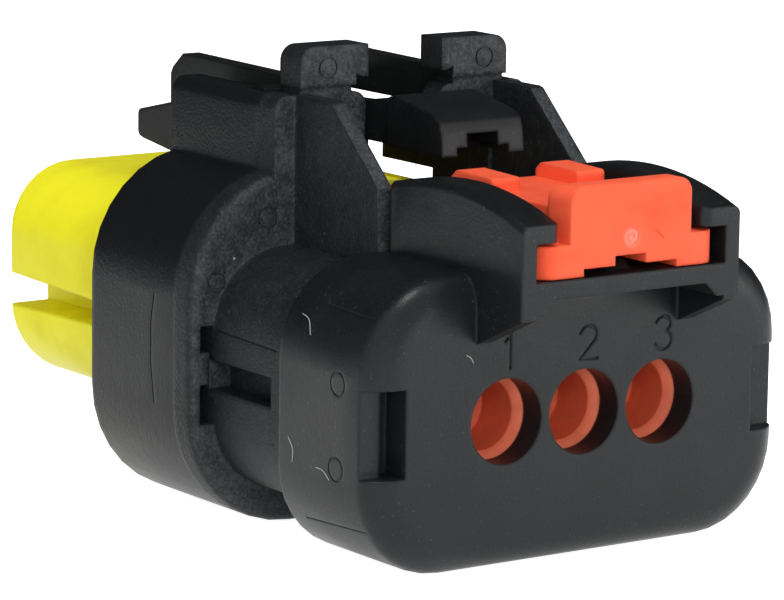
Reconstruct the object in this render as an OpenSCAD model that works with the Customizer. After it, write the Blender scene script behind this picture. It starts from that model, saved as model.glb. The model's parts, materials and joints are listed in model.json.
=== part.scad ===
// Sealed three-way wire-to-wire connector, plug half.
// Frame: origin at the middle wire hole on the rear face, +Y towards the mating
// half, +X to the right when the wire side is looked at, +Z up to the latch.

/* [Contact row] */
// Number of wire cavities in the row
ways = 3; // [2:1:3]
// Spacing of the cavities
pitch = 4.5; // [4.3:0.1:4.6]
// Diameter of a wire hole in the rear cover
wire_hole_d = 4.06; // [3.7:0.02:4.2]
// Diameter of a contact cavity in the housing
cavity_d = 2.9; // [2.4:0.1:3.2]
// Diameter of a pin hole in the front of the wedge lock
pin_hole_d = 2.1; // [1.8:0.1:2.4]

/* [Rear cover] */
// Width of the rear cover
cover_w = 24.2; // [23.8:0.1:24.6]
// Height of the rear cover
cover_h = 14; // [13.6:0.1:14.2]
// Length of the rear cover along the mating axis
cover_len = 7.5; // [7:0.1:8]
// Corner radius of the cover seen from the wire side
cover_corner_r = 4.5; // [4.2:0.1:5]
// Rounding of the rear edge, measured across the side
cover_edge_x = 1.7; // [1.4:0.1:1.9]
// Rounding of the rear edge, measured along the length
cover_edge_y = 1.2; // [0.9:0.1:1.4]
// Thickness of the end wall that the wires pass through
end_wall = 1.4; // [1.2:0.1:1.6]
// Height of each side notch
notch_h = 4.15; // [3.6:0.05:4.6]
// Distance between the floors of the two side notches
notch_span = 20.3; // [20.1:0.1:20.8]
// Depth of the inner step of the side notches along the length
notch_len = 1.65; // [1.5:0.01:1.8]

/* [Lock tower] */
// Width over the two ears of the tower
tower_w = 12.6; // [12.4:0.1:13]
// Clear width of the channel that the position lock slides in
channel_w = 11; // [10.8:0.1:11.2]
// Clear width between the lips over the channel
lip_gap = 8.2; // [8:0.1:8.4]
// How far the tower stands out behind the rear face
tower_out = 3.39; // [3:0.01:3.8]
// Height of the channel floor above the contact row
floor_z = 7.06; // [7:0.01:7.2]
// Thickness of the channel floor
floor_t = 0.86; // [0.7:0.01:1]
// Height of the channel, floor to lip
channel_h = 1.77; // [1.7:0.01:1.9]
// Height of the ear crown above the contact row
ear_top_z = 10.87; // [10.6:0.01:11]
// Radius of the crowned top of each ear
ear_r = 17.8; // [15:0.1:19]
// Place of the crown along the length
ear_crown_y = 3; // [2:0.1:4]
// Place of the front end of the ears
ear_front_y = 6.95; // [6.5:0.05:7.2]
// Drop of the gussets below the channel floor at the rear face
gusset_drop = 2.4; // [2:0.1:2.8]

/* [Neck and shroud] */
// Width of the neck between cover and flange
neck_w = 21.8; // [21.4:0.1:22.2]
// Height of the neck
neck_h = 11.9; // [11.6:0.1:12.2]
// Corner radius of the neck
neck_corner_r = 4; // [3.6:0.1:4.4]
// Place of the flange's rear face
flange_y = 15; // [14.8:0.1:15.4]
// Thickness of the flange
flange_t = 1.2; // [1:0.1:1.3]
// Width of the shroud
shroud_w = 24.3; // [24:0.1:24.8]
// Height of the shroud
shroud_h = 17.5; // [17.2:0.05:17.8]
// Height of the shroud's centre above the contact row
shroud_z = 1.2; // [1.1:0.05:1.3]
// Corner radius of the shroud
shroud_corner_r = 6; // [5.6:0.1:6.4]
// Length of the shroud in front of the flange's rear face
shroud_len = 9.2; // [8.8:0.1:9.8]
// Wall thickness of the shroud
shroud_wall = 1.45; // [1.3:0.05:1.5]

/* [Latch guard] */
// Width over the two guard rails
rail_span = 15; // [14.8:0.1:15.4]
// Thickness of each guard rail
rail_t = 1.6; // [1.5:0.1:1.7]
// Height of the rail tops above the contact row
rail_top_z = 13.5; // [13.3:0.1:13.7]
// Width over the two hook posts
post_span = 12.3; // [12.2:0.1:12.5]
// Clear width between the posts below their hooks
post_gap = 5.8; // [5.6:0.1:6]
// Clear width between the hook tips
hook_gap = 3.1; // [3:0.1:3.6]
// Height of the post tops above the contact row
post_top_z = 15.82; // [15.6:0.01:16.1]
// Thickness of the hooks
hook_t = 1.2; // [1:0.05:1.3]
// Depth of the posts along the length
post_len = 1.8; // [1.6:0.1:2]
// Width of the slot in the bulkhead for the lever
lever_slot_w = 4.4; // [4.3:0.1:4.6]
// Thickness of each wing plate
wing_t = 0.8; // [0.7:0.05:0.9]
// Place of the rear edge of the wing plates
wing_rear_y = 8.05; // [7.9:0.05:8.3]

/* [Latch lever] */
// Width of the thumb pad
pad_w = 4.8; // [4.6:0.1:5]
// Place of the rear end of the thumb pad
pad_rear_y = 8.25; // [8.2:0.05:8.5]
// Length of the thumb pad
pad_len = 4.6; // [4.4:0.1:5]
// Height of the underside of the pad above the contact row
pad_under_z = 11.05; // [11:0.01:11.2]
// Width of the beam that passes the bulkhead
beam_w = 4; // [3.8:0.1:4]
// Place of the lever's pivot along the length
pivot_y = 17.85; // [17.8:0.05:18.2]
// Diameter of the torsion stubs at the pivot
stub_d = 1.3; // [1.1:0.1:1.5]
// Width over the two side bars of the bail
bail_w = 9.8; // [9.6:0.1:10]
// Width of each side bar
bail_bar_w = 0.95; // [0.8:0.05:1.1]
// Height of the bail's top above the contact row
bail_top_z = 14; // [13.8:0.05:14.2]
// Height of each side bar
bail_bar_h = 1.95; // [1.7:0.05:2]
// Place of the bail's front end
bail_front_y = 28.5; // [28:0.1:29]
// Length of the catch nose in front of the bail
nose_len = 3.15; // [2.8:0.05:3.4]

/* [Wedge lock] */
// Width of the wedge lock
wedge_w = 19; // [18.6:0.1:19.2]
// Height of the wedge lock
wedge_h = 11.3; // [11:0.1:11.6]
// Height of the wedge lock's centre above the contact row
wedge_z = 1.92; // [1.6:0.02:2]
// Place of the wedge lock's front face
wedge_front_y = 37.1; // [36.6:0.1:37.6]
// Length of the wedge lock
wedge_len = 13.9; // [13.5:0.1:14.1]
// Height of each side groove at the front face
groove_h = 1.8; // [1.5:0.05:1.9]
// Depth of each side groove
groove_d = 2.4; // [2:0.1:2.5]
// Travel of the wedge lock from the open to the closed place
wedge_travel = 2; // [1.5:0.1:2]

/* [Position lock] */
// Width over the guide flanges of the position lock
lock_w = 10.2; // [10:0.05:10.3]
// Width of the finger block at the rear
lock_block_w = 7; // [6.9:0.1:7.2]
// Height of the finger block's top above the contact row
lock_top_z = 11.28; // [11.1:0.01:11.5]
// Length of the finger block
lock_block_len = 1.75; // [1.6:0.05:1.9]
// Spacing of the two blocking lugs
lug_pitch = 4.95; // [4.7:0.05:5]

/* [Seals] */
// Diameter of the mouth of each wire bore in the seal
seal_mouth_d = 3.4; // [3.2:0.05:3.5]
// Diameter of the sealing throats in each wire bore
seal_throat_d = 2.2; // [2:0.1:2.4]
// Length of the wire seal
wire_seal_len = 7; // [6.6:0.1:7.2]
// Stand-off of the seal ribs over their flanks
seal_rib = 0.35; // [0.2:0.05:0.4]

/* [Fits] */
// Gap between parts that push together
fit_gap = 0.1; // [0.08:0.01:0.12]
// Gap round parts that slide in use
slide_gap = 0.2; // [0.15:0.01:0.25]
// Radial play of the torsion stubs in their sockets
stub_play = 0.05; // [0.02:0.01:0.08]

/* [Hidden] */
$fn = 48;
hull_fn = 32;
eps = 0.02;
black = [0.13, 0.13, 0.14];
brick = [0.62, 0.24, 0.17];
yellow = [0.94, 0.90, 0.10];
red = [0.93, 0.27, 0.17];

function cavity_x(i) = (i - (ways - 1) / 2) * pitch;

// The tail of the neck, which the rear cover caps, and the seal pocket in it
cover_side_t = 1.4;
cover_top_t = 1.15;
tail_w = cover_w - 2 * (cover_side_t + fit_gap);
tail_h = cover_h - 2 * (cover_top_t + fit_gap);
tail_rear_y = end_wall + fit_gap;
tail_step = 0.8;
tail_step_y = tail_rear_y + 0.7;
pocket_w = 18;
pocket_h = 8.4;
pocket_r = 3.6;
pocket_front_y = tail_rear_y + wire_seal_len + fit_gap;
neck_top_z = 6.25;
neck_z = neck_top_z - neck_h / 2;

shroud_front_y = flange_y + shroud_len;
shroud_top_z = shroud_z + shroud_h / 2;
rail_in_x = rail_span / 2 - rail_t;
guard_slot_x = rail_in_x - 0.6;
flange_edge_r = 0.6;

// The barrel inside the shroud, with the seat of the interface seal
barrel_front_y = wedge_front_y - wedge_len - wedge_travel - slide_gap;
seal_seat_in = 1.5;
core_w = (ways - 1) * pitch + cavity_d + 0.5;
core_h = 4.4;
core_front_y = 33.5;

wedge_rear_y = wedge_front_y - wedge_len;
pivot_z = bail_top_z - bail_bar_h / 2;
lip_z = floor_z + channel_h;

// A profile drawn in X and Z, run along Y from y0 to y1
module along_y(y0, y1) {
    translate([0, y1, 0])
        rotate([90, 0, 0])
            linear_extrude(y1 - y0) children();
}

// A profile drawn in Y and Z, run along X from x0 to x1
module along_x(x0, x1) {
    translate([x0, 0, 0])
        rotate([90, 0, 90])
            linear_extrude(x1 - x0) children();
}

// Both sides of something drawn on the +X side
module both_sides() {
    children();
    mirror([1, 0, 0]) children();
}

module box(x0, x1, y0, y1, z0, z1) {
    translate([x0, y0, z0]) cube([x1 - x0, y1 - y0, z1 - z0]);
}

// A rectangle with round corners, centred
module round_rect(w, h, r) {
    square([w - 2 * r, h], center = true);
    square([w, h - 2 * r], center = true);
    for (sx = [-1, 1], sz = [-1, 1])
        translate([sx * (w / 2 - r), sz * (h / 2 - r)]) circle(r);
}

// A round-cornered prism along Y whose rear edge is rounded by edge_x and edge_y
module soft_prism(w, h, r, y0, y1, edge_x, edge_y, z = 0) {
    steps = 6;
    translate([0, 0, z])
        hull() {
            for (i = [0 : steps]) {
                a = 90 * i / steps;
                inset = edge_x * (1 - sin(a));
                along_y(y0 + edge_y * (1 - cos(a)), y1)
                    round_rect(w - 2 * inset, h - 2 * inset, r - inset, $fn = hull_fn);
            }
        }
}

// A straight bore along Y
module bore_y(d, y0, y1, x = 0, z = 0) {
    translate([x, y1, z])
        rotate([90, 0, 0]) cylinder(d = d, h = y1 - y0);
}

// ---------------------------------------------------------------- housing

module neck() {
    translate([0, 0, neck_z])
        along_y(cover_len + fit_gap, flange_y + flange_t)
            round_rect(neck_w, neck_h, neck_corner_r);
    along_y(tail_step_y, cover_len + 2 * fit_gap)
        round_rect(tail_w, tail_h, neck_corner_r);
    along_y(tail_rear_y, tail_step_y + 0.1)
        round_rect(tail_w - 2 * tail_step, tail_h - 2 * tail_step, neck_corner_r - tail_step);
}

module shroud_shell() {
    window_floor = shroud_top_z - shroud_wall - 0.5;
    slot_x = guard_slot_x;
    block_len = 3.55;
    difference() {
        soft_prism(shroud_w, shroud_h, shroud_corner_r, flange_y, shroud_front_y,
                   flange_edge_r, flange_edge_r, shroud_z);
        translate([0, 0, shroud_z])
            along_y(flange_y + flange_t, shroud_front_y + 1)
                round_rect(shroud_w - 2 * shroud_wall, shroud_h - 2 * shroud_wall,
                           shroud_corner_r - shroud_wall);
        box(-slot_x, slot_x, flange_y + flange_t, shroud_front_y + 1,
            window_floor, shroud_top_z + 1);
    }
    // Stop blocks beside the slot, between barrel and shroud
    both_sides()
        box(slot_x, slot_x + 2, flange_y + 0.5, flange_y + flange_t + block_len,
            shroud_top_z - shroud_wall - 0.65, shroud_top_z - 0.4);
}

module barrel() {
    translate([0, 0, wedge_z])
        along_y(flange_y, barrel_front_y)
            round_rect(wedge_w - 2 * seal_seat_in, wedge_h - 2 * seal_seat_in, 2.6);
    along_y(flange_y, core_front_y)
        round_rect(core_w, core_h, 1);
}

module guard_rail() {
    edge_r = 0.7;
    x1 = rail_span / 2;
    along_y(flange_y, shroud_front_y)
        difference() {
            translate([rail_in_x, shroud_top_z - shroud_wall])
                square([rail_t, rail_top_z - shroud_top_z + shroud_wall]);
            translate([x1 - edge_r, rail_top_z - edge_r])
                difference() {
                    square(edge_r + 1);
                    circle(edge_r);
                }
        }
}

// The bulkhead half, the post that stands on it and the post's inward hook
module hook_post() {
    x0 = lever_slot_w / 2;
    x1 = post_span / 2;
    root_x = post_gap / 2;
    tip_x = hook_gap / 2;
    hook_z = post_top_z - hook_t;
    post_y = flange_y - 0.2;
    corner_r = 0.8;
    bulkhead_r = 0.7;
    bulkhead_z0 = 8;
    groove_z = 13.5;
    along_y(flange_y, flange_y + 1.4)
        union() {
            translate([x0, bulkhead_z0])
                square([x1 - x0, rail_top_z - bulkhead_r - bulkhead_z0]);
            translate([x0 + bulkhead_r, bulkhead_z0])
                square([x1 - x0 - bulkhead_r, rail_top_z - bulkhead_z0]);
            translate([x0 + bulkhead_r, rail_top_z - bulkhead_r]) circle(bulkhead_r);
        }
    along_y(post_y, post_y + post_len)
        union() {
            translate([root_x, groove_z + 0.35])
                square([x1 - root_x, post_top_z - corner_r - groove_z - 0.35]);
            translate([tip_x, hook_z]) square([x1 - tip_x, hook_t - corner_r]);
            translate([tip_x + corner_r, hook_z])
                square([x1 - tip_x - 2 * corner_r, hook_t]);
            for (x = [tip_x + corner_r, x1 - corner_r])
                translate([x, post_top_z - corner_r]) circle(corner_r);
        }
    box(root_x + 0.15, x1 - 0.1, flange_y, post_y + post_len, groove_z - 0.5, groove_z + 0.5);
}

module wing_plate() {
    x1 = 6.3;
    shoulder_z = 9.85;
    slope_run = 3.85;
    along_x(x1 - wing_t, x1)
        polygon([[flange_y + 0.5, neck_top_z - 1], [wing_rear_y - 0.15, neck_top_z - 1],
                 [wing_rear_y, shoulder_z], [wing_rear_y + 0.15, shoulder_z + 0.25],
                 [wing_rear_y + slope_run, rail_top_z - 0.06],
                 [wing_rear_y + slope_run + 0.3, rail_top_z + 0.02],
                 [flange_y + 0.5, rail_top_z + 0.02]]);
}

module housing_cuts() {
    slot_rear_y = 10;
    slot_z0 = -0.47;
    slot_z1 = 1;
    recess_z0 = -2.15;
    recess_z1 = 2.7;
    recess_out = 11.65;
    window_z0 = wedge_z + wedge_h / 2 + 0.15;
    window_z1 = 10.5;
    // Seal pocket and contact cavities
    along_y(tail_rear_y - 1, pocket_front_y)
        round_rect(pocket_w, pocket_h, pocket_r);
    for (i = [0 : ways - 1])
        bore_y(cavity_d, pocket_front_y - 1, core_front_y + 1, cavity_x(i));
    // Side slots of the neck and the openings beside them in the flange
    both_sides() {
        box(neck_w / 2 - 1.2, neck_w / 2 + 0.3, slot_rear_y, flange_y + 0.4,
            slot_z0, slot_z1);
        difference() {
            box(neck_w / 2, recess_out, flange_y - 1, flange_y + flange_t + 1,
                recess_z0, recess_z1);
            box(neck_w / 2 + 0.25, recess_out + 1, flange_y, flange_y + 4,
                slot_z0 + 0.3, slot_z1 + 0.4);
        }
    }
    // Slot of the bulkhead for the lever, and the wider window below it
    box(-lever_slot_w / 2, lever_slot_w / 2, flange_y - 1, flange_y + flange_t + 1,
        window_z0, post_top_z + 1);
    box(-guard_slot_x, guard_slot_x, flange_y - 1, flange_y + flange_t + 1,
        window_z0, window_z1);
    // Sockets of the torsion stubs
    translate([-rail_in_x - 0.75, pivot_y, pivot_z])
        rotate([0, 90, 0]) cylinder(d = stub_d + 2 * stub_play, h = 2 * rail_in_x + 1.5);
}

module housing() {
    color(black)
        difference() {
            union() {
                neck();
                shroud_shell();
                barrel();
                both_sides() {
                    guard_rail();
                    hook_post();
                    wing_plate();
                }
            }
            housing_cuts();
        }
}

// ------------------------------------------------------------ latch lever

// Side view of the pad: a falling top with soft edges
module pad_profile(y1) {
    y0 = pad_rear_y;
    polygon([[y0, pad_under_z], [y0 + 0.12, pad_under_z + 1.1], [y0 + 0.3, pad_under_z + 1.6],
             [y0 + 0.75, pad_under_z + 1.92], [y1 - 0.5, pad_under_z + 2.53],
             [y1 - 0.15, pad_under_z + 2.4], [y1, pad_under_z + 2.1], [y1, pad_under_z]]);
}

// Side view of the beam: level through the bulkhead, then down to the bail's head
module beam_profile(y0, y1) {
    z0 = pad_under_z;
    polygon([[y0, z0], [y0, z0 + 2.18], [flange_y - 0.6, z0 + 2.1], [flange_y + 3.8, z0 + 1.2],
             [y1, z0 + 0.9], [y1, z0 - 0.9], [flange_y + 5, z0 - 0.5],
             [flange_y + 2.4, z0]]);
}

// Side view of a side bar, round at the pivot and chamfered at the front
module bar_profile() {
    r = bail_bar_h / 2;
    translate([pivot_y, pivot_z]) circle(r);
    polygon([[pivot_y, pivot_z - r], [pivot_y, pivot_z + r],
             [bail_front_y - 1.15, bail_top_z + 0.12],
             [bail_front_y - 0.2, bail_top_z - 0.65], [bail_front_y, bail_top_z - 1],
             [bail_front_y, pivot_z - r]]);
}

// Side view of the bail's head and its catch nose
module head_profile() {
    root_z = 9;
    y0 = bail_front_y - 1.9;
    y1 = bail_front_y + nose_len;
    tip_r = 0.35;
    polygon([[y0 - 1.7, root_z], [bail_front_y, root_z], [y1 - 0.4, root_z + 0.35],
             [y1 - 0.4, root_z + 1.87], [bail_front_y, root_z + 2.5],
             [bail_front_y, bail_top_z - bail_bar_h + 0.2],
             [y0, bail_top_z - bail_bar_h + 0.2], [y0, root_z + 1.9],
             [y0 - 1.7, root_z + 1.5]]);
    for (z = [root_z + 0.38 + tip_r, root_z + 1.85 - tip_r])
        translate([y1 - tip_r, z]) circle(tip_r);
    translate([y1 - 0.6, root_z + 0.38 + tip_r]) square([0.6, 1.47 - 2 * tip_r]);
}

module latch_lever() {
    pad_front_y = pad_rear_y + pad_len;
    head_y = bail_front_y - 1.9;
    color(black)
        difference() {
            union() {
                along_x(-pad_w / 2, pad_w / 2) pad_profile(pad_front_y);
                along_x(-beam_w / 2, beam_w / 2) beam_profile(pad_front_y - 0.5, head_y + 0.5);
                both_sides() along_x(bail_w / 2 - bail_bar_w, bail_w / 2) bar_profile();
                along_x(-bail_w / 2, bail_w / 2) head_profile();
                // Torsion stubs that carry the bail between the rails
                both_sides()
                    translate([bail_w / 2 - 0.5, pivot_y, pivot_z])
                        rotate([0, 90, 0])
                            cylinder(d = stub_d, h = rail_in_x + 1.1 - bail_w / 2);
            }
            // Stepped relief under the rear end of the pad
            box(-1.53, 1.53, pad_rear_y - 1, pad_rear_y + 2.4, pad_under_z - 1, pad_under_z + 0.4);
            box(-0.92, 0.92, pad_rear_y - 1, pad_rear_y + 2.4, pad_under_z - 1, pad_under_z + 1.04);
        }
}

// ------------------------------------------------------------- rear cover

// An ear: crowned along its length, soft along both top edges and at the inner
// rear corner
module ear() {
    x0 = lip_gap / 2;
    x1 = tower_w / 2;
    edge_r = 0.35;
    corner_r = 0.6;
    intersection() {
        translate([0, ear_crown_y, ear_top_z - ear_r])
            rotate([0, 90, 0])
                rotate_extrude($fn = 180)
                    union() {
                        translate([0, x0]) square([ear_r - edge_r, x1 - x0]);
                        translate([0, x0 + edge_r]) square([ear_r, x1 - x0 - 2 * edge_r]);
                        for (x = [x0 + edge_r, x1 - edge_r])
                            translate([ear_r - edge_r, x]) circle(edge_r, $fn = 24);
                    }
        translate([0, 0, lip_z])
            linear_extrude(ear_top_z - lip_z + 1)
                union() {
                    translate([x0 + corner_r, -tower_out])
                        square([x1 - x0 - corner_r + 1, ear_front_y + tower_out]);
                    translate([x0 - 1, -tower_out + corner_r])
                        square([x1 - x0 + 2, ear_front_y + tower_out - corner_r]);
                    translate([x0 + corner_r, -tower_out + corner_r]) circle(corner_r);
                }
    }
}

module lock_tower() {
    out_x = tower_w / 2;
    wall_in = channel_w / 2;
    rib_w = 1.4;
    gusset_in = wall_in - 0.05;
    rear_z0 = floor_z - floor_t;
    // Channel floor
    box(-out_x, out_x, -tower_out, cover_len - 0.5, rear_z0, floor_z);
    // Guide rib with a sloped rear end
    along_x(-rib_w / 2, rib_w / 2)
        polygon([[-tower_out + 0.9, floor_z - 0.1], [-tower_out + 1.6, floor_z + 0.45],
                 [cover_len - 1.2, floor_z + 0.45], [cover_len - 1.2, floor_z - 0.1]]);
    both_sides() {
        box(wall_in, out_x, -tower_out, ear_front_y, rear_z0, lip_z + 0.2);
        ear();
        // Gusset below the tower, and the corner block between them
        along_x(gusset_in, out_x)
            polygon([[-tower_out, rear_z0 + 0.2], [-tower_out, rear_z0 - 0.84],
                     [0, floor_z - floor_t - gusset_drop], [1, floor_z - floor_t - gusset_drop],
                     [1, rear_z0 + 0.2]]);
        along_y(-tower_out, 0.2)
            polygon([[gusset_in - 1.2, rear_z0 + 0.1], [gusset_in - 0.42, rear_z0 - 0.67],
                     [gusset_in + 0.1, rear_z0 - 0.67], [gusset_in + 0.1, rear_z0 + 0.1]]);
    }
}

module rear_cover() {
    notch_in_w = 0.75;
    notch_out_len = 1;
    color(black)
        difference() {
            union() {
                soft_prism(cover_w, cover_h, cover_corner_r, 0, cover_len,
                           cover_edge_x, cover_edge_y);
                lock_tower();
            }
            along_y(tail_step_y - fit_gap, cover_len + 1)
                round_rect(tail_w + 2 * fit_gap, tail_h + 2 * fit_gap, neck_corner_r);
            along_y(end_wall, tail_step_y)
                round_rect(tail_w - 2 * tail_step + 2 * fit_gap,
                           tail_h - 2 * tail_step + 2 * fit_gap, neck_corner_r - tail_step);
            for (i = [0 : ways - 1])
                bore_y(wire_hole_d, -1, end_wall + 1, cavity_x(i));
            // Stepped side notches
            both_sides() {
                box(notch_span / 2, cover_w, -1, notch_out_len, -notch_h / 2, notch_h / 2);
                box(notch_span / 2, notch_span / 2 + notch_in_w, -1, notch_len,
                    -notch_h / 2, notch_h / 2);
            }
        }
}

// ------------------------------------------------------------------ seals

// Wire bore of the seal: a wide mouth, three throats and a wide exit
module seal_bore(x) {
    mouth_r = seal_mouth_d / 2;
    throat_r = seal_throat_d / 2;
    y0 = tail_rear_y;
    throat_pitch = 1.05;
    translate([x, y0, 0])
        rotate([-90, 0, 0])
            rotate_extrude()
                polygon([[0, -1], [mouth_r + 0.45, -1], [mouth_r + 0.45, 0], [mouth_r, 0.4],
                         [mouth_r, 2.7], [throat_r, 3.1],
                         for (k = [0 : 1]) each [[throat_r, 3.3 + k * throat_pitch],
                              [mouth_r - 0.25, 3.65 + k * throat_pitch],
                              [mouth_r - 0.25, 3.8 + k * throat_pitch],
                              [throat_r, 4.15 + k * throat_pitch]],
                         [throat_r, 5.5], [mouth_r, 5.9], [mouth_r, wire_seal_len + 1],
                         [0, wire_seal_len + 1]]);
}

module wire_seal() {
    y0 = tail_rear_y;
    y1 = y0 + wire_seal_len;
    body_w = pocket_w - 2 * seal_rib;
    body_h = pocket_h - 2 * seal_rib;
    rib_len = 0.9;
    color(brick)
        difference() {
            union() {
                along_y(y0, y1)
                    round_rect(body_w - 0.1, body_h - 0.1, pocket_r - seal_rib);
                for (k = [0 : 2])
                    along_y(y0 + 0.7 + 2.2 * k, y0 + 0.7 + 2.2 * k + rib_len)
                        round_rect(pocket_w - 0.04, pocket_h - 0.04, pocket_r - 0.02);
            }
            for (i = [0 : ways - 1]) seal_bore(cavity_x(i));
        }
}

module interface_seal() {
    y0 = flange_y + flange_t + fit_gap;
    y1 = barrel_front_y - fit_gap;
    in_w = wedge_w - 2 * seal_seat_in + 2 * 0.02;
    in_h = wedge_h - 2 * seal_seat_in + 2 * 0.02;
    out_w = wedge_w - 2 * seal_rib;
    out_h = wedge_h - 2 * seal_rib;
    rib_len = 0.8;
    color(brick)
        translate([0, 0, wedge_z])
            difference() {
                union() {
                    along_y(y0, y1) round_rect(out_w, out_h, 3.75);
                    for (y = [y0 + 0.6, y1 - 0.6 - rib_len])
                        along_y(y, y + rib_len)
                            round_rect(wedge_w + 0.3, wedge_h + 0.3, 4.1);
                }
                along_y(y0 - 1, y1 + 1) round_rect(in_w, in_h, 2.62);
            }
}

// ------------------------------------------------------------- wedge lock

// Section of the wedge lock, drawn in by inset all round
module wedge_section(inset) {
    top_r = 3.6 - inset;
    base_r = 4.2 - inset;
    w = wedge_w / 2 - inset;
    h = wedge_h / 2 - inset;
    hull()
        for (s = [-1, 1]) {
            translate([s * (w - top_r), h - top_r]) circle(top_r);
            translate([s * (w - base_r), base_r - h]) circle(base_r);
        }
}

module wedge_lock() {
    front_r = 0.5;
    front_wall = wedge_front_y - core_front_y - wedge_travel - slide_gap;
    pocket_front = wedge_front_y - front_wall;
    groove_z = 1.02;
    groove_taper = 0.35;
    steps = 4;
    color(yellow)
        difference() {
            translate([0, 0, wedge_z]) {
                along_y(wedge_rear_y, wedge_front_y - front_r) wedge_section(0);
                // Rounded front edge
                hull()
                    for (i = [0 : steps]) {
                        a = 90 * i / steps;
                        along_y(wedge_front_y - front_r - eps,
                                wedge_front_y - front_r * (1 - sin(a)))
                            wedge_section(front_r * (1 - cos(a)), $fn = hull_fn);
                    }
            }
            // Pocket over the core of the housing
            along_y(wedge_rear_y - 1, pocket_front)
                round_rect(core_w + 2 * slide_gap, core_h + 2 * slide_gap, 1 + slide_gap);
            // Lower step on top, under the guard
            box(-wedge_w / 2 + 1.8, wedge_w / 2 - 1.8, wedge_rear_y - 1, wedge_rear_y + 4.2,
                wedge_z + wedge_h / 2 - 0.65, wedge_z + wedge_h);
            // Core-out above the contact row
            along_y(wedge_rear_y + 1.2, wedge_front_y + 1)
                translate([0, core_h / 2 + 2.6]) round_rect(9, 2, 0.6);
            for (i = [0 : ways - 1])
                bore_y(pin_hole_d, pocket_front - 1, wedge_front_y + 1, cavity_x(i));
            // Side grooves, open at the front and narrower towards the rear
            both_sides()
                along_x(wedge_w / 2 - groove_d, wedge_w)
                    polygon([[wedge_front_y + 1, groove_z - groove_h / 2],
                             [wedge_front_y + 1, groove_z + groove_h / 2],
                             [wedge_rear_y + 2, groove_z + groove_h / 2 - groove_taper],
                             [wedge_rear_y + 2, groove_z - groove_h / 2 + groove_taper]]);
        }
}

// ---------------------------------------------------------- position lock

module position_lock() {
    rear_y = -tower_out + 0.14;
    base_z = floor_z + 0.05;
    flange_top = lip_z - 0.2;
    flange_len = 3.2;
    plate_z0 = floor_z + 1.2;
    plate_z1 = 10.15;
    plate_front = 6.3;
    block_r = 0.75;
    lug_w = 1.62;
    lug_len = 3.25;
    lug_top = pad_under_z - slide_gap;
    front_y = rear_y + lock_block_len;
    color(red)
        difference() {
            union() {
                // Finger block, rounded at its upper corners and front edge
                intersection() {
                    along_y(rear_y, front_y)
                        union() {
                            translate([-lock_block_w / 2, base_z])
                                square([lock_block_w, lock_top_z - base_z - block_r]);
                            translate([block_r - lock_block_w / 2, base_z])
                                square([lock_block_w - 2 * block_r, lock_top_z - base_z]);
                            for (s = [-1, 1])
                                translate([s * (lock_block_w / 2 - block_r),
                                           lock_top_z - block_r])
                                    circle(block_r);
                        }
                    along_x(-lock_block_w, lock_block_w)
                        union() {
                            translate([rear_y, base_z])
                                square([lock_block_len, lock_top_z - base_z - block_r]);
                            translate([rear_y, base_z])
                                square([lock_block_len - block_r, lock_top_z - base_z - 0.2]);
                            translate([rear_y + 0.2, base_z])
                                square([lock_block_len - block_r - 0.2, lock_top_z - base_z]);
                            translate([rear_y + 0.2, lock_top_z - 0.2]) circle(0.2);
                            translate([front_y - block_r, lock_top_z - block_r])
                                circle(block_r);
                        }
                }
                // Guide flanges with rounded ends
                translate([0, rear_y, base_z])
                    linear_extrude(flange_top - base_z)
                        translate([0, flange_len / 2]) round_rect(lock_w, flange_len, 0.9);
                // Plate and blocking lugs
                box(-lock_block_w / 2 + 0.15, lock_block_w / 2 - 0.15, rear_y + 0.5,
                    plate_front, plate_z0, plate_z1);
                for (s = [-1, 1])
                    along_x(s * lug_pitch / 2 - lug_w / 2, s * lug_pitch / 2 + lug_w / 2)
                        polygon([[plate_front, plate_z1 - 0.3], [plate_front, lug_top - 0.35],
                                 [plate_front - 0.4, lug_top],
                                 [plate_front - lug_len + 0.15, lug_top - 0.08],
                                 [plate_front - lug_len, lug_top - 0.22],
                                 [plate_front - lug_len, plate_z1 - 0.3]]);
            }
            // Steps in the underside, over the guide rib
            box(-2.7, 2.7, rear_y - 1, plate_front + 1, base_z - 1, base_z + 0.35);
            box(-0.9, 0.9, rear_y - 1, plate_front + 1, base_z - 1, base_z + 0.8);
        }
}

housing();
latch_lever();
rear_cover();
wire_seal();
interface_seal();
wedge_lock();
position_lock();
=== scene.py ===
"""Looks of a sealed three-way connector plug: finishes, moulding marks, lint and a studio."""

import json
import math

import bmesh
import bpy
from bpy.props import FloatProperty, FloatVectorProperty, PointerProperty
from mathutils import Matrix, Vector

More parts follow.
